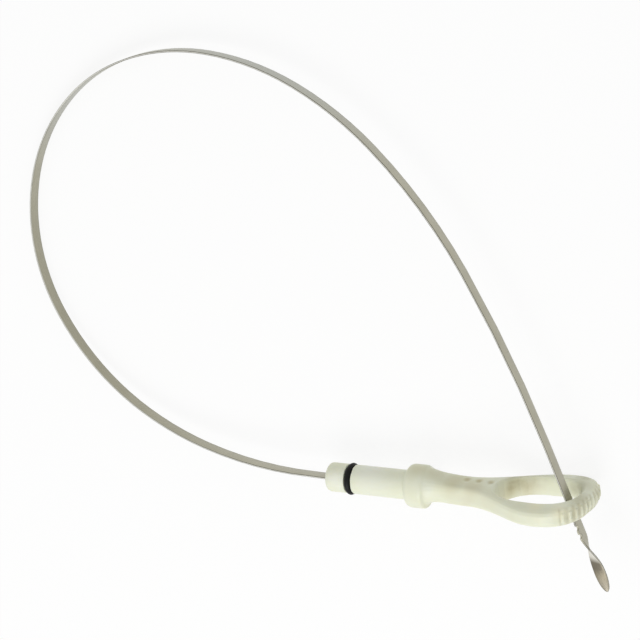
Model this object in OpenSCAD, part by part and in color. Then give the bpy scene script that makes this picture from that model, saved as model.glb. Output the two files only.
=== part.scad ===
// Engine oil dipstick: a moulded nylon handle with a finger ring, a rubber O-ring in the
// groove of its spigot, and a flat spring steel blade moulded into the spigot.
// The blade is coiled into one open loop and its tip hangs through the finger ring.
// X runs along the handle from the spigot to the ring, Y across the loop and Z up.
// The origin is on the spigot's axis, in the plane of the collar's shoulder.

/* [Spigot] */
// Diameter of the spigot that fills the mouth of the dipstick tube
spigot_d = 10.5; // [8:0.1:16]
// Length of the spigot from the collar's shoulder to its end
spigot_len = 31; // [24:0.5:50]
// Radius round the spigot's end
spigot_end_r = 1.4; // [0.5:0.1:2.2]
// Distance from the spigot's end to the near wall of the O-ring groove
groove_setback = 7.5; // [5:0.1:12]
// Width of the O-ring groove
groove_w = 2.7; // [2.5:0.1:4]
// Diameter at the floor of the O-ring groove
groove_floor_d = 6.6; // [5.8:0.1:7.4]

/* [O-ring] */
// Thickness of the O-ring's cord
oring_cord_d = 2.4; // [1.8:0.1:2.6]

/* [Stop collar] */
// Diameter of the stop collar
collar_d = 15.5; // [12:0.1:22]
// Thickness of the stop collar
collar_w = 7.3; // [5:0.1:12]
// Radius between the collar's shoulder and its rim
collar_front_r = 2.1; // [0.5:0.1:2.5]
// Radius between the collar's rim and its back
collar_back_r = 0.8; // [0.3:0.1:2]
// Height of the hollow that leads from the neck up to the collar's back
collar_hollow_h = 2.3; // [1:0.1:2.4]
// Length of that hollow along the neck
collar_hollow_len = 9; // [3:0.1:10]

/* [Neck] */
// Width of the neck at its waist
neck_w = 10.6; // [8:0.1:14]
// Thickness of the neck at its waist
neck_t = 8.3; // [7:0.1:12]
// Distance from the shoulder to the waist of the neck
neck_waist_x = 22.5; // [18:0.5:26]
// Height that the thumb ramp rises from the top of the neck to the collar
ramp_h = 3; // [1:0.1:3.4]
// Distance that the head sinks below the spigot's axis
head_sink = 0.35; // [0:0.05:2]
// Distance that the head lies to one side of the spigot's axis
head_drift = 0.6; // [0:0.1:2]
// Distance from the shoulder to where the neck has spread to the full width of the ring
flare_end_x = 54; // [46:0.5:55]

// Diameter of the moulded dimples on the top of the neck
dimple_d = 3; // [1.5:0.1:4]
// Depth of the moulded dimples
dimple_depth = 0.35; // [0.2:0.05:0.6]
// Distance between neighbouring dimples
dimple_pitch = 4.4; // [4:0.1:5]
// Distance from the shoulder to the middle dimple
dimple_x = 26.5; // [26:0.5:30]

/* [Finger ring] */
// Roll of the handle against the plane in which the blade is coiled
ring_roll = 6.5; // [0:0.5:15]
// Slant of the ring, by which its far side bar lies nearer to its end than the near one
ring_slant = 11; // [0:0.5:15]
// Distance from the shoulder to the centre of the finger ring
ring_x = 53.9; // [50:0.1:70]
// Width over the two side bars
ring_w = 31.6; // [26:0.2:40]
// Thickness of the finger ring
ring_t = 8.1; // [5:0.1:12]
// Distance from the ring's centre to the outside of its end web
ring_end_reach = 12.9; // [12:0.1:22]
// Width of the finger hole
hole_w = 17.6; // [15:0.2:20]
// Distance from the ring's centre to the point of the finger hole
hole_point_reach = 20.1; // [14:0.2:21]
// Distance from the ring's centre to the far end of the finger hole
hole_end_reach = 8.3; // [5:0.1:8.4]
// Width of the rounded rim of the finger hole
rim_w = 2.3; // [1:0.1:3]
// Width of that rim at the hole's point
point_rim_w = 0.8; // [0.4:0.1:3]
// Width of the dish that slopes from the end web into the finger hole
end_dish_w = 4; // [2:0.1:4.5]

/* [Grip ribs] */
// Number of grip ribs round the end web
rib_count = 11; // [5:2:11]
// Angle between neighbouring grip ribs, seen from the ring's centre
rib_pitch = 10; // [9:0.5:11]
// Length of the grip ribs
rib_len = 6.2; // [3:0.1:7]
// Height of the grip ribs over the end web
rib_proud = 0.7; // [0.3:0.05:1]

/* [Blade] */
// Width of the blade
blade_w = 5; // [4:0.1:6]
// Thickness of the blade
blade_t = 0.6; // [0.4:0.05:1]
// Length of the blade moulded into the handle
root_len = 27; // [20:0.5:30]
// Diameter of the keying hole in the moulded-in root
key_hole_d = 2.2; // [1.5:0.1:3]
// Distance from the spigot's end to the keying hole
key_hole_setback = 21; // [17:0.5:23]
// Radius of the tightest bend of the coiled blade
loop_bend_r = 62; // [55:0.5:80]

/* [Level marks and tip] */
// Length of the notched stretch that reads the oil level
gauge_len = 34; // [30:0.5:50]
// Distance from the start of that stretch to the upper notch
upper_notch_s = 30; // [20:0.5:31]
// Distance between the two level notches
notch_pitch = 3; // [2.6:0.1:4]
// Radius of the level notches
notch_r = 0.8; // [0.5:0.1:1.2]
// Length of the burr tooth above each notch
tooth_len = 1.6; // [1:0.1:2]
// Height of the burr tooth over the blade's edge
tooth_proud = 0.35; // [0.2:0.05:0.6]
// Length of the twisted spoon tip
tip_len = 21; // [16:0.5:40]
// Length over which the tip twists
twist_len = 17; // [10:0.5:20]
// Angle of the twist
twist_deg = 96; // [60:1:120]
// Share of the twist that comes late: 1 spreads it evenly, less brings it forward
twist_share = 0.8; // [0.5:0.05:1]
// Length of the rounded end of the tip
tip_round_len = 7.5; // [3:0.1:9]
// Width of the spoon tip at its widest
spoon_w = 4.1; // [3.4:0.1:5]
// Depth of the hollow in the spoon tip
dish_depth = 0.5; // [0:0.05:0.9]
// Sideways sweep of the tip, and the length over which it sweeps
tip_sweep = 0.7; // [0:0.1:4]
sweep_len = 12.6; // [8:0.1:20]

/* [Hidden] */

$fn = 64;

// Clearance between the moulding and the steel root, and under the O-ring
fit_gap = 0.02;
// Run of cutting shapes past the faces they cut
over = 1;

spigot_r = spigot_d / 2;
collar_r = collar_d / 2;
ring_hw = ring_w / 2;
hole_r = hole_w / 2;

// Bends of the coiled blade from the spigot to the ring: radius as a share of the
// tightest bend, and the angle turned through
bend_r_shares = [3.9, 2.25, 1.75, 1.5, 1.13, 1.06, 1, 1.2, 1.55, 1.95, 3.05, 7.45];
bend_turns = [3, 15, 14, 30, 44.5, 30.5, 20, 30.5, 21, 16.5, 16, 8.1];
// Straight stretch between the spigot and the first bend
lead_len = 1.5;

// Squareness of a section of the head, of its outline at the end web, of the end web's
// edge and of the finger hole's rim, and sharpness of the finger hole's point
head_power = 4;
outline_power = 2.4;
end_power = 6;
rim_power = 2.4;
hole_point_power = 6;

// Stations along the hollow behind the collar, the neck and the end web, and facets
hollow_steps = 7;
neck_steps = 18;
end_steps = 12;
section_steps = 24;
hole_steps = 48;
rim_steps = 10;
rib_steps = 5;
band_steps = 4;
// How far round its end the outline is cut blunt
blunt_deg = 82;
// How far the grip band is rooted below the end wall, and its depth as a share of the ring
band_root = 0.5;
band_share = 0.85;

// Degrees of a bend between stations, stations along the tip, and steps across the blade
bend_step = 3;
// Where along its rounding the tip is cut blunt
tip_blunt_share = 0.993;
tip_steps = 28;
dish_steps = 5;

function lerp(a, b, t) = a + (b - a) * t;
function smooth(t) = let (u = min(max(t, 0), 1)) u * u * (3 - 2 * u);
function signed_pow(v, p) = sign(v) * pow(abs(v), p);

// A point on a superellipse with the given half sizes
function superellipse(a, b, power, angle) =
    [a * signed_pow(cos(angle), 2 / power), b * signed_pow(sin(angle), 2 / power)];

// Faces of a skin over equal rings of points, open with end caps or closed on itself.
// A cap is a strip of quads between the two halves of its ring.
function cap_faces(first, n) =
    [for (j = [0 : n / 2 - 2]) [first + j, first + j + 1, first + n - 2 - j, first + n - 1 - j]];
function flipped(faces) = [for (f = faces) [f[3], f[2], f[1], f[0]]];
function skin_faces(rings, n, closed) = concat(
    [for (i = [0 : rings - (closed ? 1 : 2)], j = [0 : n - 1])
        let (a = i * n, b = ((i + 1) % rings) * n, k = (j + 1) % n)
        each [[a + j, b + j, b + k], [a + j, b + k, a + k]]],
    closed ? [] : concat(cap_faces(0, n), flipped(cap_faces((rings - 1) * n, n)))
);

module skin(sections, closed = false) {
    n = len(sections[0]);
    polyhedron([for (s = sections) each s], skin_faces(len(sections), n, closed), convexity = 6);
}

// Turns a profile drawn with its radius along X and its length along Y round the handle's axis
module turned_on_x() {
    rotate([0, 90, 0]) rotate_extrude() children();
}

// Spigot with its rounded end and its O-ring groove
module spigot() {
    turned_on_x() difference() {
        union() {
            translate([0, spigot_end_r - spigot_len]) square([spigot_r, spigot_len - spigot_end_r]);
            translate([0, -spigot_len]) square([spigot_r - spigot_end_r, spigot_end_r]);
            translate([spigot_r - spigot_end_r, spigot_end_r - spigot_len]) circle(spigot_end_r);
        }
        translate([groove_floor_d / 2, groove_setback - spigot_len]) square([spigot_r, groove_w]);
    }
}

// Stop collar, rounded where it meets the tube
module stop_collar() {
    turned_on_x() {
        translate([0, collar_front_r]) square([collar_r, collar_w - collar_front_r - collar_back_r]);
        square([collar_r - collar_front_r, collar_w]);
        translate([collar_r - collar_front_r, collar_front_r]) circle(collar_front_r);
        translate([0, collar_w - collar_back_r]) square([collar_r - collar_back_r, collar_back_r]);
        translate([collar_r - collar_back_r, collar_w - collar_back_r]) circle(collar_back_r);
    }
}

// Places along the head as shares: from the collar to the waist, from there to the end of
// the flare, and from the ring's centre to the outside of the end web
function ramp_share(x) = min(max((x - collar_w) / (neck_waist_x - collar_w), 0), 1);
function neck_share(x) = (x - neck_waist_x) / (flare_end_x - neck_waist_x);
function end_share(x) = max((x - ring_x) / ring_end_reach, 0);

// Height of the hollow, a quarter of an ellipse, at a distance from the collar's back
function hollow_h(x) =
    let (u = min(max(x - collar_w, 0) / collar_hollow_len, 1))
    collar_hollow_h * (1 - sqrt(u * (2 - u)));

// Half width of the head, and its heights over and under the spigot's axis
function head_hw(x) =
    lerp(neck_w / 2, ring_hw, smooth(neck_share(x)))
        * pow(1 - pow(end_share(x), outline_power), 1 / outline_power) + hollow_h(x);
function head_mid(x) = -head_sink * smooth(neck_share(x));
function head_half_t(x) =
    lerp(neck_t, ring_t, smooth(neck_share(x))) / 2 * pow(1 - pow(end_share(x), end_power), 1 / end_power);
function head_top(x) = head_mid(x) + head_half_t(x) + ramp_h * pow(1 - ramp_share(x), 2);
function head_bottom(x) = head_mid(x) - head_half_t(x) - hollow_h(x);

// Distance along the handle by which the slant moves a point at a height over the axis
function slant(z) = -z * tan(ring_slant);

// The neck and the ring in one skin: hollow, neck and end web stations
head_xs = concat(
    [collar_w / 2],
    [for (i = [0 : hollow_steps - 1]) collar_w + collar_hollow_len * pow(i / hollow_steps, 2)],
    [for (i = [0 : neck_steps - 1]) lerp(collar_w + collar_hollow_len, ring_x, i / neck_steps)],
    [for (i = [0 : end_steps]) ring_x + ring_end_reach * sin(blunt_deg * i / end_steps)]
);

module head() {
    skin([for (x = head_xs)
        let (
            half_w = head_hw(x),
            mid = (head_top(x) + head_bottom(x)) / 2,
            half_t = (head_top(x) - head_bottom(x)) / 2,
            power = lerp(2, head_power, smooth(ramp_share(x)))
        )
        [for (j = [0 : section_steps - 1])
            let (p = superellipse(half_t, half_w, power, 360 * (j + 0.5) / section_steps))
            [x + slant(p[1]) * smooth(neck_share(x)), mid + p[0], p[1] - head_drift * smooth(neck_share(x))]]
    ]);
}

// Shallow round dimples along the top of the neck
module neck_dimples() {
    dimple_r = (dimple_d * dimple_d / 4 + dimple_depth * dimple_depth) / (2 * dimple_depth);
    for (i = [-1, 0, 1])
        let (x = dimple_x + i * dimple_pitch)
            translate([x, head_top(x) + dimple_r - dimple_depth, -head_drift * smooth(neck_share(x))])
                sphere(dimple_r);
}

// Radius of the finger hole at an angle from the end web, and the width of its rim there
function hole_radius(a) = cos(a) > 0
    ? 1 / norm([cos(a) / hole_end_reach, sin(a) / hole_r])
    : lerp(hole_r, hole_point_reach, pow((1 - cos(a)) / 2, hole_point_power));
function hole_rim(a) = lerp(rim_w, cos(a) > 0 ? end_dish_w : point_rim_w, smooth(abs(cos(a))));

// Finger hole with its rounded rim, a skin over levels across the ring
module finger_hole() {
    half_t = ring_t / 2 + fit_gap;
    levels = concat(
        [[-half_t - over, 1]],
        [for (i = [0 : rim_steps])
            let (a = 180 * i / rim_steps - 90)
            [half_t * signed_pow(sin(a), 2 / rim_power), 1 - pow(max(cos(a), 0), 2 / rim_power)]],
        [[half_t + over, 1]]
    );
    translate([ring_x, -head_sink, -head_drift]) skin([for (level = levels)
        [for (i = [0 : hole_steps - 1])
            let (a = -360 * i / hole_steps, r = hole_radius(a) + hole_rim(a) * level[1])
            [r * cos(a) + slant(r * sin(a)), level[0], r * sin(a)]]
    ]);
}

// Raised ribs round the outside of the end web, for a wet finger to grip. They are the
// crests of one wavy band that is rooted below the end wall.
function end_radius(a) =
    1 / pow(pow(cos(a) / ring_end_reach, outline_power) + pow(abs(sin(a)) / ring_hw, outline_power), 1 / outline_power);

module grip_ribs() {
    steps = rib_count * rib_steps;
    translate([ring_x, -head_sink, -head_drift]) skin([for (i = [0 : steps])
        let (
            a = (i / steps - 0.5) * rib_count * rib_pitch,
            wave = pow(sin(180 * i / rib_steps), 2)
        )
        [for (side = [1, -1], j = [0 : band_steps])
            let (
                v = side * lerp(-1, 1, j / band_steps),
                y = v * rib_len / 2,
                wall = end_radius(a) * pow(1 - pow(abs(y) * 2 / ring_t, head_power), 1 / head_power),
                r = side > 0 ? wall - band_root + (band_root + rib_proud) * wave * (1 - pow(v, 4)) : wall * band_share
            )
            [r * cos(a) + slant(r * sin(a)), y, r * sin(a)]]
    ]);
}

// Slot that the moulding leaves round the steel root, with the peg through its keying hole
module root_slot() {
    difference() {
        translate([-spigot_len - over, -blade_t / 2 - fit_gap, -blade_w / 2 - fit_gap])
            cube([root_len + over + fit_gap, blade_t + 2 * fit_gap, blade_w + 2 * fit_gap]);
        translate([key_hole_setback - spigot_len, 0, 0]) rotate([90, 0, 0])
            cylinder(h = spigot_d, d = key_hole_d - 2 * fit_gap, center = true);
    }
}

module handle() {
    color("#e6e8cf") difference() {
        rotate([ring_roll, 0, 0]) {
            spigot();
            stop_collar();
            difference() {
                union() {
                    head();
                    grip_ribs();
                }
                finger_hole();
                neck_dimples();
            }
        }
        root_slot();
    }
}

// The O-ring sits on the floor of its groove, in the middle of the groove's width
module o_ring() {
    color("#1c1c1c") translate([groove_setback + groove_w / 2 - spigot_len, 0, 0])
        turned_on_x() translate([(groove_floor_d + oring_cord_d) / 2 + fit_gap, 0]) circle(oring_cord_d / 2);
}

// The blade's centre line is a chain of stretches, each with a length and an angle that it
// turns through: the root with its lead, the bends, the gauge and the tip
function bend_len(i) = bend_r_shares[i] * loop_bend_r * bend_turns[i] * PI / 180;
stretch_lens = concat([root_len + lead_len], [for (i = [0 : len(bend_turns) - 1]) bend_len(i)], [gauge_len]);
stretch_turns = concat([0], bend_turns, [0]);

// Place and heading [x, y, heading] after going along an arc from a start
function ahead(at, length, turn) =
    let (chord = turn == 0 ? length : length * sin(turn / 2) / (turn * PI / 360))
    [at[0] + chord * cos(at[2] - turn / 2), at[1] + chord * sin(at[2] - turn / 2), at[2] - turn];

// Starts of all stretches, worked out one from the last
function starts(i, at) = i == len(stretch_lens) ? [at] :
    concat([at], starts(i + 1, ahead(at, stretch_lens[i], stretch_turns[i])));
stretch_starts = starts(0, [root_len - spigot_len, 0, 180]);
tip_start = stretch_starts[len(stretch_lens)];

// Stations [x, y, heading] along the flat blade, one for every few degrees of a bend
flat_stations = [for (i = [0 : len(stretch_lens) - 1])
    let (steps = max(1, ceil(stretch_turns[i] / bend_step)))
    for (k = [0 : steps - 1])
        ahead(stretch_starts[i], stretch_lens[i] * k / steps, stretch_turns[i] * k / steps)];

// Half width of the tip at a distance from its start: narrowed to the spoon through the
// twist, and rounded off at the end
function tip_half_w(s) =
    let (u = max(0, (s - tip_len + tip_round_len) / tip_round_len))
    lerp(blade_w, spoon_w, smooth(s / twist_len)) / 2 * pow(1 - pow(min(u, tip_blunt_share), 2), 0.5);

// Angle of the twist at a distance from the tip's start
function tip_turn(s) = twist_deg * smooth(pow(s / twist_len, twist_share));

// Points of a section square to the heading: flat, or hollowed by sag, and turned about it
function blade_section(at, half_w, sag, turn) =
    [for (side = [1, -1], j = [0 : dish_steps])
        let (
            v = side * lerp(-1, 1, j / dish_steps),
            across = half_w * v,
            up = side * blade_t / 2 - sag * (1 - v * v),
            off = up * cos(turn) + across * sin(turn)
        )
        [at[0] - off * sin(at[2]), at[1] + off * cos(at[2]), across * cos(turn) - up * sin(turn)]];

// Spoon tip: the flat section twists, hollows and sweeps a little sideways
tip_sections = [for (i = [0 : tip_steps])
    let (
        s = tip_len * i / tip_steps,
        half_w = tip_half_w(s),
        sag = dish_depth * smooth((s - twist_len / 2) / twist_len) * half_w * 2 / blade_w,
        drift = tip_sweep * smooth(s / sweep_len),
        at = ahead(tip_start, s, 0)
    )
    blade_section(
        [at[0] - drift * sin(at[2]), at[1] + drift * cos(at[2]), at[2]],
        half_w, sag, tip_turn(s)
    )];

// Places children on the blade's upper edge at a distance along the gauge
module on_gauge(s) {
    at = ahead(stretch_starts[len(stretch_lens) - 1], s, 0);
    translate([at[0], at[1], blade_w / 2]) rotate([90, 0, at[2]]) children();
}

// Burr that the notching tool raises above a level notch
module burr() {
    linear_extrude(blade_t, center = true) polygon([
        [-notch_r - tooth_len, -notch_r],
        [-notch_r - tooth_len, 0],
        [-notch_r - tooth_len / 2, tooth_proud],
        [0, tooth_proud],
        [0, -notch_r]
    ]);
}

module blade() {
    color("#a9a796") difference() {
        union() {
            skin(concat([for (at = flat_stations) blade_section(at, blade_w / 2, 0, 0)], tip_sections));
            for (i = [0, 1]) on_gauge(upper_notch_s + i * notch_pitch) burr();
        }
        for (i = [0, 1]) on_gauge(upper_notch_s + i * notch_pitch)
            cylinder(h = blade_t + over, r = notch_r, center = true);
        translate([key_hole_setback - spigot_len, 0, 0]) rotate([90, 0, 0])
            cylinder(h = blade_w, d = key_hole_d, center = true);
    }
}

// The coiled dipstick lies on one side bar of its ring and on the far side of its loop.
// It leans along a heading that was found by weighing it, by the drop from the blade's
// lower edge to the side bar over the distance between the two supports.
lean_heading = -15;
lean_toward = [-cos(lean_heading), -sin(lean_heading)];
bar_drop = max([for (j = [0 : section_steps - 1])
    let (p = superellipse(ring_t / 2, ring_hw, head_power, 360 * (j + 0.5) / section_steps))
    -((p[0] - head_sink) * sin(ring_roll) + (p[1] - head_drift) * cos(ring_roll))]);
loop_reach = max([for (at = flat_stations) [at[0] - ring_x, at[1]] * lean_toward]);
lean = atan((bar_drop - blade_w / 2) / loop_reach);

module lying() {
    rotate(lean_heading) rotate([0, -lean, 0]) rotate(-lean_heading) children();
}

lying() handle();
lying() o_ring();
lying() blade();
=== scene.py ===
"""Looks of the engine oil dipstick: a moulded nylon handle with a finger ring, a nitrile
rubber O-ring in the groove of its spigot, and a spring steel blade coiled into one loop.
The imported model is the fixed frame, in metres: X along the handle, Z up. Sizes and places
below are in mm, in the dipstick's own frame before it leans, but for the lamps and the floor."""

import math

import bpy
from mathutils import Euler, Matrix, Vector


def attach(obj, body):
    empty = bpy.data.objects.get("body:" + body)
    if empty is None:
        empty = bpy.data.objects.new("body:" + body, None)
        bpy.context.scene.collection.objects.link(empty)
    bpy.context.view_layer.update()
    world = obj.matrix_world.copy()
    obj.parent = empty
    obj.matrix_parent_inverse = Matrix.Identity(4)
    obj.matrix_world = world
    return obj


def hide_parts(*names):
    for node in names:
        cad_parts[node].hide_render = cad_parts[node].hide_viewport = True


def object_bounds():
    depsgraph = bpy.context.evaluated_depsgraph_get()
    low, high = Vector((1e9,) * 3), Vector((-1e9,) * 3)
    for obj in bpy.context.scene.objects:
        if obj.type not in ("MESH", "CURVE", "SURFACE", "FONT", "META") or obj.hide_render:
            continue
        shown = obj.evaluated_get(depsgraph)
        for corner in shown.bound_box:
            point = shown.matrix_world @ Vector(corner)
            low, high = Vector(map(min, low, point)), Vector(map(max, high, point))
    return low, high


MM = 0.001

# The coiled dipstick lies on one side bar of its ring and the far side of its loop.
LEAN_HEADING = math.radians(-15)
LEAN = math.radians(3.66124)
LEANING = (
    Matrix.Rotation(LEAN_HEADING, 4, "Z")
    @ Matrix.Rotation(-LEAN, 4, "Y")
    @ Matrix.Rotation(-LEAN_HEADING, 4, "Z")
)
UPRIGHT = LEANING.to_3x3().inverted()

# Spigot, O-ring and collar, as in the part's source
SPIGOT_LEN = 31
GROOVE_SETBACK = 7.5
GROOVE_W = 2.7
ORING_MID_R = 4.52
ORING_CORD_R = 1.2
COLLAR_W = 7.3

# Ring and grip ribs, as in the part's source
RING_X = 53.9
RING_ROLL = math.radians(6.5)
RING_SLANT = math.radians(11)
HEAD_SINK = 0.35
HEAD_DRIFT = 0.6
RIB_PITCH = 10
RIB_LEN = 6.2
RIB_SPAN = 55
RIB_INNER_R = 11.5

# Handle's skin: the cells that it is rebuilt in, how often they are smoothed, and the share
# of its triangles that is kept
SKIN_CELL = 0.2
SKIN_PASSES = 3
SKIN_KEPT = 0.6

# The soft blend behind the collar: how far it goes each way along the handle, from which
# radius on, and how often it is smoothed
BLEND_REACH = 1.8
BLEND_INNER_R = 4.8
BLEND_PASSES = 44

# Where painted shade lies, in the rib valleys and in a band on the finger hole's far wall, in the
# ring's own frame, each as the places where it starts and is full. On the far wall it fades towards the
# ring's end and the wall's foot.
RIB_SHADE_DEPTH = 0.67
RIB_SHADE_FADE = 0.4
WALL_FACE = (-2.5, -4.5)
WALL_BACK = (-12.5, -11)
WALL_FOOT = (-3, 0.5)
WALL_FORK = (-22, -18)
WALL_END = (-5.5, -16)
# The wall's upper rim keeps only half of the painted shade, which paints it lighter
WALL_RIM = (2.4, 3.6)
RIM_SHADE_CUT = 0.5

# Height of the parting line round the O-ring
PARTING_LINE = 0.05

# The blade's loop is level left of this place. Its corners and slit edges are told apart by
# their material slot, until an attribute takes that over.
LEVEL_LOOP_X = -40
CORNER_SLOT = 1
EDGE_SLOT = 2

# Width of the blade's eased corners, the share of it that is left among the teeth, and
# where along Y the teeth are
CORNER_W = 0.17
TEETH_CORNER = 0.3
TEETH_SPAN = (-14, 4)

# Where the nylon is stained by oil and fingers, and where shade and light are painted on it:
# round patches (middle, reach), the colour that they turn towards, and how far they turn
NYLON_STAINS_AND_PAINTED_LIGHT = [
    # Painted shade in the hollow at the thumb ramp and on the neck's top, partly oil stain where the neck
    # is held
    ([((5, 7, 2), 6), ((11, 6, 1), 7), ((18, 4.5, 0), 7)], "#c9c197", 0.42),
    ([((18, 4, 4), 7), ((26, 4, 3.5), 6)], "#c9c197", 0.38),
    # Painted shade on the fork and far wall of the finger hole, partly a stain
    ([((36, -1, -4), 8), ((41.5, -2, -8), 7)], "#b8a76c", 0.38),
    # Painted shade in the hollow of the ring's end
    ([((61, 3, -6), 8), ((64, 3, 3), 7), ((58.5, 1, -9), 5), ((61, 5, -12), 5)], "#aeaa8a", 0.52),
    # Painted light on the near bar's top
    ([((60.5, 1, 11.5), 5), ((52, 3, 12), 5)], "#f3eecb", 0.5),
    # Grip ribs
    ([((64.5, -1, 7), 5), ((68, 1, -7), 5)], "#b4ad88", 0.3),
    # Painted light on the spigot's upper side
    ([((-14, 5, 1), 11), ((-27, 1, 5), 6)], "#f4f6ee", 0.5),
    # Dimples, turned darker
    ([((22.1, 4.2, -0.6), 2), ((26.5, 3.9, -0.6), 2), ((30.9, 3.6, -0.6), 2)], "#bbae80", 0.65),
]

# Places on the steel, as round patches (middle, reach)
# The loop's far left: painted shade on its faces and a painted bright reflection on its corners
FAR_LEFT_OF_LOOP = ((-150, 40, 0), 120)
# Where the loop's top turns paler and greyer
PALE_TOP = [((-50, 148, 1), 75), ((-122, 133, 1), 40)]
# A painted bright reflection on the corners near the loop's top left
CORNER_REFLECTION = ((-118, 133, 1), 28)
# Painted shade at the filed gauge marks and the twist
SHADED_MARKS_AND_TWIST = [((63.5, -10, 0), 9), ((67.5, -18, 1), 8)]
# A dark line along the twist's upper edge: its ends and its reach
TWIST_EDGE_LINE = ((64.4, -12.2, 2.6), (70.0, -19.6, 1.0), 0.6)

# Steel of the tip along Y, from the quarter twist to the spoon's end: a painted highlight where it
# was twisted, then dark brown, then straw
TIP_START = -14
TIP_END = -32
TIP_COLOURS = [
    (0.0, "#b2af9e"), (0.16, "#e5e3da"), (0.29, "#dad7cc"), (0.4, "#7a7466"),
    (0.52, "#736d60"), (0.66, "#8a8372"), (0.82, "#8b8577"), (1.0, "#837e71"),
]

# Floor and room: the floor's side in m, its share that shows as plain white, and how bright
# the room is
FLOOR_SIZE = 6
FLOOR_WHITE = 0.85
ROOM_LEVEL = 0.56

# Lamps: place in m, side in m and power in W, and the point in m that they face
KEY_LIGHT = ((0.1, -0.6, 0.85), 0.7, 5.1)
FILL_LIGHT = ((-0.5, 0.3, 0.8), 0.7, 0.8)
LAMP_AIM = (-0.03, 0.06, 0)

# Camera: its place, its turn in degrees, and its lens
CAMERA_PLACE = (335.01, 295.11, 720.35)
CAMERA_TURN = (-18.107, 25.822, -4.003)
CAMERA_LENS = 135
CAMERA_SENSOR = 36

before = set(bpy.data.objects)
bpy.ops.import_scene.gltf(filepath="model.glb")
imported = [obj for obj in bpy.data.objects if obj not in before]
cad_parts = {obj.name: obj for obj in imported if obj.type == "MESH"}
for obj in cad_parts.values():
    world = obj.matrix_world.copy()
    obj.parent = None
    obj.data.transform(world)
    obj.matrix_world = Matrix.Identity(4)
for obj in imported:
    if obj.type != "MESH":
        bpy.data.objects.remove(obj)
cad_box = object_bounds()


def srgb(code):
    """Linear colour of an sRGB hex value."""
    parts = [int(code[i : i + 2], 16) / 255 for i in (1, 3, 5)]
    return [c / 12.92 if c <= 0.04045 else ((c + 0.055) / 1.055) ** 2.4 for c in parts] + [1.0]


def start_material(name):
    """A material with an empty node tree, and that tree."""
    material = bpy.data.materials.new(name)
    material.use_nodes = True
    tree = material.node_tree
    tree.nodes.clear()
    return material, tree


def node(tree, kind, settings=None, stops=(), **inputs):
    """Adds a node, sets its properties and its (place, hex colour) stops, and fills or links
    its sockets by name, or by number where the name is an underscore and a number."""
    made = tree.nodes.new(kind)
    for key, value in (settings or {}).items():
        setattr(made, key, value)
    for _ in stops[2:]:
        made.color_ramp.elements.new(0.5)
    for index, (place, hexcode) in enumerate(stops):
        made.color_ramp.elements[index].position = place
        made.color_ramp.elements[index].color = srgb(hexcode)
    for key, value in inputs.items():
        wanted = int(key[1:]) if key[1:].isdigit() else key.replace("_", " ")
        socket = made.inputs[wanted]
        if isinstance(value, bpy.types.NodeSocket):
            tree.links.new(value, socket)
        else:
            socket.default_value = value
    return made


def per(size):
    """Scale of a pattern whose features are about this far apart, in mm."""
    return 1 / (size * MM)


def own_place(tree):
    """Where a point lies in the dipstick's own frame, before it leans on its floor."""
    raw = node(tree, "ShaderNodeTexCoord").outputs["Object"]
    return node(tree, "ShaderNodeMapping", Vector=raw, Rotation=UPRIGHT.to_euler()).outputs["Vector"]


def patch(tree, place, middle, reach):
    """1 at the middle of a round patch and 0 at its reach, both in mm."""
    away = node(
        tree, "ShaderNodeVectorMath", {"operation": "DISTANCE"},
        _0=place, _1=tuple(c * MM for c in middle),
    )
    return node(
        tree, "ShaderNodeMapRange", {"interpolation_type": "SMOOTHSTEP"}, Value=away.outputs["Value"],
        From_Min=0.0, From_Max=reach * MM, To_Min=1.0, To_Max=0.0,
    ).outputs["Result"]


def streak(tree, place, start, end, reach):
    """1 on the straight line through two points and 0 at its reach, all in mm. It fades out
    beyond the two points."""
    way = Vector(end) - Vector(start)
    offset = node(
        tree, "ShaderNodeVectorMath", {"operation": "SUBTRACT"},
        _0=place, _1=tuple(c * MM for c in start),
    )
    aside = node(
        tree, "ShaderNodeVectorMath", {"operation": "CROSS_PRODUCT"},
        _0=offset.outputs[0], _1=tuple(way.normalized()),
    )
    away = node(tree, "ShaderNodeVectorMath", {"operation": "LENGTH"}, _0=aside.outputs[0])
    line = node(
        tree, "ShaderNodeMapRange", {"interpolation_type": "SMOOTHSTEP"}, Value=away.outputs["Value"],
        From_Min=0.0, From_Max=reach * MM, To_Min=1.0, To_Max=0.0,
    )
    near = patch(tree, place, Vector(start) + way / 2, 0.8 * way.length)
    return node(
        tree, "ShaderNodeMath", {"operation": "MULTIPLY"}, _0=line.outputs["Result"], _1=near
    ).outputs[0]


def tint(tree, colour, shares, hexcode, depth):
    """Shifts a colour towards another one by the largest of some shares, times a depth."""
    most = shares[0]
    for other in shares[1:]:
        most = node(tree, "ShaderNodeMath", {"operation": "MAXIMUM"}, _0=most, _1=other).outputs[0]
    share = node(tree, "ShaderNodeMath", {"operation": "MULTIPLY"}, _0=most, _1=depth).outputs[0]
    return node(
        tree, "ShaderNodeMix", {"data_type": "RGBA"}, _0=share, _6=colour, _7=srgb(hexcode)
    ).outputs[2]


def by_strip_part(tree, face, corner, edge):
    """The colour of each part of the strip: its attribute is 0 on the rolled faces, 0.5 on
    the corners and 1 on the slit edges."""
    part = node(tree, "ShaderNodeAttribute", {"attribute_name": "strip_edge"}).outputs["Fac"]
    off_face = node(tree, "ShaderNodeMapRange", Value=part, From_Min=0.1, From_Max=0.4)
    on_edge = node(tree, "ShaderNodeMapRange", Value=part, From_Min=0.6, From_Max=0.9)
    most = node(
        tree, "ShaderNodeMix", {"data_type": "RGBA"},
        _0=off_face.outputs["Result"], _6=face, _7=corner,
    )
    return node(
        tree, "ShaderNodeMix", {"data_type": "RGBA"},
        _0=on_edge.outputs["Result"], _6=most.outputs[2], _7=edge,
    ).outputs[2]


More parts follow.
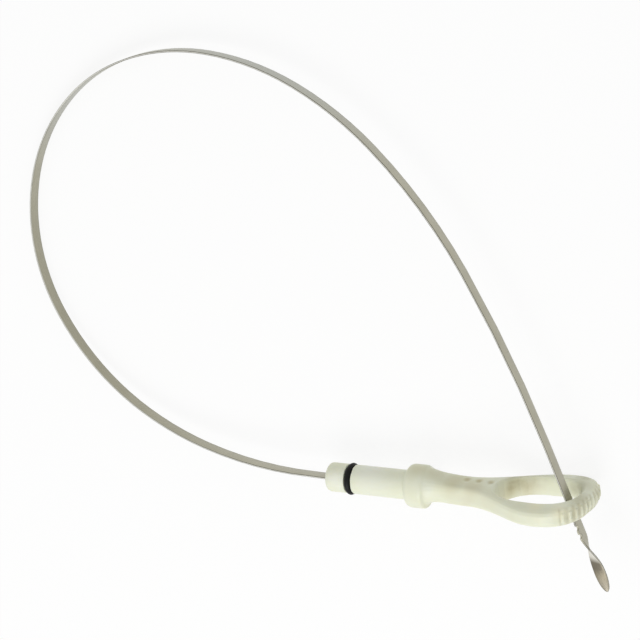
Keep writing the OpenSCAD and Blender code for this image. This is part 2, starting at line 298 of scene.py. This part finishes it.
def natural_nylon():
    """Injection moulded polyamide in its natural ivory: satin, a little see-through at thin
    edges, with the fine spark-eroded grain of its mould and the warm stain that oil leaves, and
    with painted shade and painted light in patches, in the rib valleys and on the finger hole's far wall."""
    material, tree = start_material("moulded_natural_nylon")
    place = own_place(tree)
    # Flow marks and oil stain drift over some 15 mm
    stain = node(tree, "ShaderNodeTexNoise", Vector=place, Scale=per(15), Detail=3.0, Roughness=0.55)
    colour = node(
        tree, "ShaderNodeValToRGB", Fac=stain.outputs["Fac"],
        stops=[(0.3, "#e9ecd9"), (0.55, "#e6e8cf"), (0.8, "#e1dfc6")],
    ).outputs["Color"]
    # Oil stains, painted shade and painted light, patch by patch
    for patches, hexcode, depth in NYLON_STAINS_AND_PAINTED_LIGHT:
        spots = [patch(tree, place, *spot) for spot in patches]
        colour = tint(tree, colour, spots, hexcode, depth)
    # The painted shade in the rib valleys and on the far wall is deeper here and lighter there, every 3
    # mm
    painted_shade = node(tree, "ShaderNodeAttribute", {"attribute_name": "painted_shade"}).outputs["Fac"]
    speckle = node(tree, "ShaderNodeTexNoise", Vector=place, Scale=per(3), Detail=2.0)
    thick = node(
        tree, "ShaderNodeMapRange", Value=speckle.outputs["Fac"],
        From_Min=0.35, From_Max=0.65, To_Min=0.65, To_Max=1.0,
    )
    spread = node(tree, "ShaderNodeMath", {"operation": "MULTIPLY"}, _0=painted_shade, _1=thick.outputs["Result"])
    colour = tint(tree, colour, [spread.outputs[0]], "#a2976a", 0.62)
    # Mould grain of 0.3 mm, drawn coarser than the real 0.1 mm so that it shows, and scuffs
    # of 2.4 mm from handling
    grain = node(tree, "ShaderNodeTexNoise", Vector=place, Scale=per(0.3), Detail=2.0)
    scuff = node(tree, "ShaderNodeTexNoise", Vector=place, Scale=per(2.4), Detail=4.0, Roughness=0.7)
    gloss = node(
        tree, "ShaderNodeMapRange", Value=scuff.outputs["Fac"],
        From_Min=0.3, From_Max=0.75, To_Min=0.36, To_Max=0.52,
    )
    relief = node(tree, "ShaderNodeBump", Strength=0.12, Distance=0.1 * MM, Height=grain.outputs["Fac"])
    waves = node(
        tree, "ShaderNodeBump", Strength=0.1, Distance=0.4 * MM,
        Height=scuff.outputs["Fac"], Normal=relief.outputs["Normal"],
    )
    shader = node(
        tree, "ShaderNodeBsdfPrincipled",
        Base_Color=colour, Roughness=gloss.outputs["Result"], Normal=waves.outputs["Normal"], IOR=1.53,
        Subsurface_Weight=0.12, Subsurface_Radius=(1.0, 0.85, 0.55), Subsurface_Scale=1.5 * MM,
    )
    node(tree, "ShaderNodeOutputMaterial", Surface=shader.outputs["BSDF"])
    return material


def nitrile_rubber():
    """Moulded nitrile rubber: nearly black, with a dull oiled sheen and a faint bloom."""
    material, tree = start_material("moulded_nitrile_rubber")
    place = node(tree, "ShaderNodeTexCoord").outputs["Object"]
    # The bloom stands in flecks of some 1.4 mm
    bloom = node(tree, "ShaderNodeTexNoise", Vector=place, Scale=per(1.4), Detail=4.0, Roughness=0.6)
    colour = node(
        tree, "ShaderNodeValToRGB", Fac=bloom.outputs["Fac"], stops=[(0.35, "#060607"), (0.7, "#101010")]
    ).outputs["Color"]
    relief = node(tree, "ShaderNodeBump", Strength=0.15, Distance=0.1 * MM, Height=bloom.outputs["Fac"])
    shader = node(
        tree, "ShaderNodeBsdfPrincipled",
        Base_Color=colour, Roughness=0.45, Normal=relief.outputs["Normal"], IOR=1.52,
        Specular_IOR_Level=0.15,
    )
    node(tree, "ShaderNodeOutputMaterial", Surface=shader.outputs["BSDF"])
    return material


def rolled_spring_steel():
    """Hardened strip, rolled to a satin face and slit to width: straight grain along the
    strip, a faint straw temper colour and bright burnished edges. A painted dark reflection runs
    along the corner between face and edge, painted shade darkens the far left of the loop, the filed
    gauge marks and the twist, and a painted highlight brightens the twist."""
    material, tree = start_material("rolled_spring_steel")
    place = own_place(tree)
    # Rolling lines: 0.15 mm apart across the strip and about 60 mm long
    stretch = (per(60), per(60), per(0.15))
    lines = node(tree, "ShaderNodeMapping", Vector=place, Scale=stretch).outputs["Vector"]
    grain = node(tree, "ShaderNodeTexNoise", Vector=lines, Scale=1.0, Detail=3.0, Roughness=0.65)
    # Clouds of some 8 mm, as the strip left its temper bath
    clouds = node(tree, "ShaderNodeTexNoise", Vector=place, Scale=per(8), Detail=4.0, Roughness=0.6)
    tone = node(
        tree, "ShaderNodeMix", {"data_type": "FLOAT"},
        _0=0.35, _2=grain.outputs["Fac"], _3=clouds.outputs["Fac"],
    ).outputs[0]
    face = node(
        tree, "ShaderNodeValToRGB", Fac=tone, stops=[(0.3, "#a29f8e"), (0.5, "#b2af9e"), (0.7, "#c1beae")]
    ).outputs["Color"]
    # Painted shade darkens the far left of the loop, and its top is paler and greyer
    far_left = patch(tree, place, *FAR_LEFT_OF_LOOP)
    face = tint(tree, face, [far_left], "#86836c", 0.45)
    face = tint(tree, face, [patch(tree, place, *spot) for spot in PALE_TOP], "#b6b8b2", 0.7)
    # The tip's colour along Y, with a painted highlight at the twist
    along = node(tree, "ShaderNodeSeparateXYZ", Vector=place).outputs["Y"]
    down = node(
        tree, "ShaderNodeMapRange", Value=along,
        From_Min=TIP_START * MM, From_Max=TIP_END * MM, To_Min=0.0, To_Max=1.0,
    ).outputs["Result"]
    tip_tone = node(tree, "ShaderNodeValToRGB", Fac=down, stops=TIP_COLOURS).outputs["Color"]
    on_tip = node(tree, "ShaderNodeMapRange", Value=down, From_Min=0.02, From_Max=0.2).outputs["Result"]
    face = node(
        tree, "ShaderNodeMix", {"data_type": "RGBA"}, _0=on_tip, _6=face, _7=tip_tone
    ).outputs[2]
    # A dark line along the twist's upper edge
    face = tint(tree, face, [streak(tree, place, *TWIST_EDGE_LINE)], "#4c4a42", 1.0)
    # The strip's corners carry a painted dark reflection, paler on the tip, and a painted bright
    # reflection on the far left of the loop and near its top
    corner = node(
        tree, "ShaderNodeMix", {"data_type": "RGBA"},
        _0=on_tip, _6=srgb("#525046"), _7=srgb("#9a978b"),
    ).outputs[2]
    corner = tint(tree, corner, [far_left, patch(tree, place, *CORNER_REFLECTION)], "#b4b4ac", 0.95)
    # The edge is bright but for the filed gauge marks and the twist, where painted shade darkens it and
    # its corners
    marks_and_twist_shade = [patch(tree, place, *spot) for spot in SHADED_MARKS_AND_TWIST]
    corner = tint(tree, corner, marks_and_twist_shade, "#57554c", 0.8)
    edge = tint(tree, srgb("#c6c5bd"), marks_and_twist_shade, "#5e5b52", 1.0)
    gloss = node(
        tree, "ShaderNodeMapRange", Value=tone, From_Min=0.3, From_Max=0.7, To_Min=0.34, To_Max=0.5
    )
    relief = node(tree, "ShaderNodeBump", Strength=0.2, Distance=0.03 * MM, Height=grain.outputs["Fac"])
    shader = node(
        tree, "ShaderNodeBsdfPrincipled",
        Base_Color=by_strip_part(tree, face, corner, edge), Metallic=0.9,
        Roughness=gloss.outputs["Result"], Normal=relief.outputs["Normal"],
    )
    node(tree, "ShaderNodeOutputMaterial", Surface=shader.outputs["BSDF"])
    return material


def only(piece):
    """Selects one piece and nothing else."""
    bpy.ops.object.select_all(action="DESELECT")
    piece.select_set(True)
    bpy.context.view_layer.objects.active = piece


def pick(piece, kind, wanted):
    """Selects the vertices or faces of a piece that are wanted, and no others."""
    only(piece)
    bpy.ops.object.mode_set(mode="EDIT")
    bpy.ops.mesh.select_mode(type=kind)
    bpy.ops.mesh.select_all(action="DESELECT")
    bpy.ops.object.mode_set(mode="OBJECT")
    parts = piece.data.vertices if kind == "VERT" else piece.data.polygons
    for part in parts:
        part.select = wanted(part)


def modify(piece, kind, **settings):
    """Adds a modifier and applies it."""
    only(piece)
    modifier = piece.modifiers.new(kind.title(), kind)
    for key, value in settings.items():
        setattr(modifier, key, value)
    bpy.ops.object.modifier_apply(modifier=modifier.name)


def merged_copy(cad_node, name):
    """A copy of a CAD node's mesh with its loose triangles joined."""
    piece = bpy.data.objects.new(name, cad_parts[cad_node].data.copy())
    bpy.context.scene.collection.objects.link(piece)
    only(piece)
    bpy.ops.object.mode_set(mode="EDIT")
    bpy.ops.mesh.select_all(action="SELECT")
    bpy.ops.mesh.remove_doubles(threshold=0.002 * MM)
    bpy.ops.object.mode_set(mode="OBJECT")
    return piece


def dress(piece, material, cad_node):
    """Gives a finished piece its material, and lets it stand for its CAD node."""
    piece.data.materials.clear()
    piece.data.materials.append(material)
    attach(piece, "root")
    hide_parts(cad_node)


def ease(low, high, value):
    """0 at low and before it, 1 at high and past it, with a soft step between."""
    share = min(max((value - low) / (high - low), 0), 1)
    return share * share * (3 - 2 * share)


def painted_shade_at(point):
    """Share of painted shade at a point of the handle: in the valleys between the grip ribs,
    and in a band on the finger hole's far wall, halved on its upper rim."""
    at = Matrix.Rotation(-RING_ROLL, 3, "X") @ point
    across, up = at.y + HEAD_SINK, at.z + HEAD_DRIFT
    along = at.x - RING_X + up * math.tan(RING_SLANT)
    angle = math.degrees(math.atan2(up, along))
    valley = 0.5 - 0.5 * math.cos(2 * math.pi * angle / RIB_PITCH)
    outside = ease(RIB_INNER_R, RIB_INNER_R + 1, math.hypot(along, up))
    in_row = ease(RIB_SPAN + 1, RIB_SPAN - 1, abs(angle))
    half = RIB_LEN / 2
    on_rib = ease(half + RIB_SHADE_FADE, half - RIB_SHADE_FADE, abs(across))
    ribs = RIB_SHADE_DEPTH * valley * outside * in_row * on_rib
    wall = ease(*WALL_FACE, up) * ease(*WALL_BACK, up) * ease(*WALL_FOOT, across)
    wall *= ease(*WALL_FORK, along) * ease(*WALL_END, along)
    return max(ribs, wall * (1 - RIM_SHADE_CUT * ease(*WALL_RIM, across)))


def handle_moulding():
    """The handle as it leaves its mould: every facet and corner flows into the next."""
    piece = merged_copy("handle", "handle_moulding")
    modify(piece, "REMESH", mode="VOXEL", voxel_size=SKIN_CELL * MM)
    modify(piece, "SMOOTH", factor=0.5, iterations=SKIN_PASSES)
    # The mould is blended by hand behind the collar
    blend = piece.vertex_groups.new(name="collar_back")
    for vertex in piece.data.vertices:
        at = UPRIGHT @ vertex.co / MM
        share = 1 - abs(at.x - COLLAR_W) / BLEND_REACH
        if share > 0 and Vector(at.yz).length > BLEND_INNER_R:
            blend.add([vertex.index], share, "REPLACE")
    modify(piece, "SMOOTH", factor=0.5, iterations=BLEND_PASSES, vertex_group=blend.name)
    modify(piece, "DECIMATE", ratio=SKIN_KEPT)
    # Painted shade in the rib valleys and on the finger hole's far wall
    painted_shade = piece.data.attributes.new("painted_shade", "FLOAT", "POINT")
    for vertex in piece.data.vertices:
        painted_shade.data[vertex.index].value = painted_shade_at(UPRIGHT @ vertex.co / MM)
    only(piece)
    bpy.ops.object.shade_smooth()
    dress(piece, natural_nylon(), "handle")


def rubber_seal():
    """The O-ring with the thin parting line that its mould leaves round the outside."""
    bpy.ops.object.select_all(action="DESELECT")
    bpy.ops.mesh.primitive_torus_add(
        major_radius=ORING_MID_R * MM, minor_radius=ORING_CORD_R * MM,
        major_segments=96, minor_segments=40,
    )
    piece = bpy.context.object
    piece.name = "rubber_seal"
    outer_r = ORING_MID_R + ORING_CORD_R
    pick(piece, "VERT", lambda vertex: Vector(vertex.co.xy).length > (outer_r - 0.001) * MM)
    bpy.ops.object.mode_set(mode="EDIT")
    grow = 1 + PARTING_LINE / outer_r
    bpy.ops.transform.resize(value=(grow, grow, 1))
    bpy.ops.object.mode_set(mode="OBJECT")
    middle = Matrix.Translation(((GROOVE_SETBACK + GROOVE_W / 2 - SPIGOT_LEN) * MM, 0, 0))
    piece.data.transform(LEANING @ middle @ Matrix.Rotation(math.pi / 2, 4, "Y"))
    only(piece)
    bpy.ops.object.shade_smooth()
    dress(piece, nitrile_rubber(), "o_ring")


def mark_slit_edges(piece):
    """Gives the strip a slot each for its faces, corners and slit edges, and puts the edges
    in theirs: all that joins on smoothly from the level edges of the flat loop."""
    for name in ("face", "corner", "edge"):
        piece.data.materials.append(bpy.data.materials.new(name))

    def on_level_edge(face):
        return face.center.x < LEVEL_LOOP_X * MM and abs((UPRIGHT @ face.normal).z) > 0.99

    pick(piece, "FACE", on_level_edge)
    bpy.ops.object.mode_set(mode="EDIT")
    bpy.ops.mesh.faces_select_linked_flat(sharpness=math.radians(40))
    piece.active_material_index = EDGE_SLOT
    bpy.ops.object.material_slot_assign()
    bpy.ops.object.mode_set(mode="OBJECT")


def ease_corners(piece):
    """Wide soft corners along the plain strip, and narrow ones where the teeth are small."""
    only(piece)
    bpy.ops.object.mode_set(mode="EDIT")
    bpy.ops.mesh.select_mode(type="EDGE")
    bpy.ops.mesh.select_all(action="DESELECT")
    bpy.ops.mesh.edges_select_sharp(sharpness=math.radians(50))
    bpy.ops.object.mode_set(mode="OBJECT")
    weights = piece.data.attributes.new("bevel_weight_edge", "FLOAT", "EDGE")
    points = [UPRIGHT @ vertex.co / MM for vertex in piece.data.vertices]
    plain = [p.x < -SPIGOT_LEN - 1 or not TEETH_SPAN[0] <= p.y <= TEETH_SPAN[1] for p in points]
    for side in piece.data.edges:
        share = 1.0 if all(plain[i] for i in side.vertices) else TEETH_CORNER
        weights.data[side.index].value = side.select * share
    modify(
        piece, "BEVEL", width=CORNER_W * MM, segments=2, limit_method="WEIGHT",
        use_clamp_overlap=False, material=CORNER_SLOT,
    )


def steel_blade():
    """The strip with its sheared edges eased, as slitting and tumbling leave them."""
    piece = merged_copy("blade", "steel_blade")
    mark_slit_edges(piece)
    ease_corners(piece)
    strip_edge = piece.data.attributes.new("strip_edge", "FLOAT", "FACE")
    for face in piece.data.polygons:
        strip_edge.data[face.index].value = face.material_index / EDGE_SLOT
        face.material_index = 0
    only(piece)
    bpy.ops.object.shade_smooth_by_angle(angle=math.radians(35))
    dress(piece, rolled_spring_steel(), "blade")


def seen_as_white(tree, *others):
    """1 for camera rays and for the other kinds of ray that are named, and 0 for the rest."""
    rays = node(tree, "ShaderNodeLightPath")
    seen = rays.outputs["Is Camera Ray"]
    for other in others:
        seen = node(
            tree, "ShaderNodeMath", {"operation": "MAXIMUM"}, _0=seen, _1=rays.outputs[other]
        ).outputs[0]
    return seen


def pale_floor():
    """A plain white sweep under the dipstick. It shows as white and keeps a soft shadow."""
    bpy.ops.object.select_all(action="DESELECT")
    bpy.ops.mesh.primitive_plane_add(size=FLOOR_SIZE, location=(0, 0, cad_box[0].z))
    floor = bpy.context.object
    floor.name = "floor"
    material, tree = start_material("white_paper")
    seen = seen_as_white(tree, "Is Glossy Ray")
    share = node(tree, "ShaderNodeMath", {"operation": "MULTIPLY"}, _0=seen, _1=FLOOR_WHITE)
    paper = node(tree, "ShaderNodeBsdfDiffuse", Color=srgb("#fcfcfb"))
    white = node(tree, "ShaderNodeEmission", Color=(1, 1, 1, 1), Strength=1.0)
    both = node(
        tree, "ShaderNodeMixShader", Fac=share.outputs[0], _1=paper.outputs[0], _2=white.outputs[0]
    )
    node(tree, "ShaderNodeOutputMaterial", Surface=both.outputs[0])
    floor.data.materials.append(material)


def white_room():
    """Even light from all round. Camera, mirror and clear rays see it as plain white."""
    world = bpy.data.worlds.new("white_room")
    world.use_nodes = True
    tree = world.node_tree
    tree.nodes.clear()
    seen = seen_as_white(tree, "Is Glossy Ray", "Is Transmission Ray")
    level = node(tree, "ShaderNodeMapRange", Value=seen, To_Min=ROOM_LEVEL, To_Max=1.0)
    light = node(tree, "ShaderNodeBackground", Color=(1, 1, 1, 1), Strength=level.outputs["Result"])
    node(tree, "ShaderNodeOutputWorld", Surface=light.outputs[0])
    bpy.context.scene.world = world


def soft_box(name, place, size, power):
    """A square area lamp that faces the middle of the coil."""
    lamp = bpy.data.lights.new(name, "AREA")
    lamp.shape = "SQUARE"
    lamp.size = size
    lamp.energy = power
    holder = bpy.data.objects.new(name, lamp)
    bpy.context.scene.collection.objects.link(holder)
    turn = (Vector(LAMP_AIM) - Vector(place)).to_track_quat("-Z", "Y").to_matrix().to_4x4()
    holder.matrix_world = Matrix.Translation(place) @ turn


def photo_camera():
    """The photograph's view: from over the ring's end, at the loop's upper side."""
    lens = bpy.data.cameras.new("photo_camera")
    lens.lens = CAMERA_LENS
    lens.sensor_width = CAMERA_SENSOR
    lens.clip_start = 0.01
    holder = bpy.data.objects.new("photo_camera", lens)
    bpy.context.scene.collection.objects.link(holder)
    turn = Euler([math.radians(a) for a in CAMERA_TURN], "XYZ").to_matrix().to_4x4()
    holder.matrix_world = LEANING @ Matrix.Translation(Vector(CAMERA_PLACE) * MM) @ turn
    bpy.context.scene.camera = holder


handle_moulding()
rubber_seal()
steel_blade()
pale_floor()
white_room()
soft_box("key_light", *KEY_LIGHT)
soft_box("fill_light", *FILL_LIGHT)
photo_camera()
bpy.context.scene.view_settings.view_transform = "Standard"
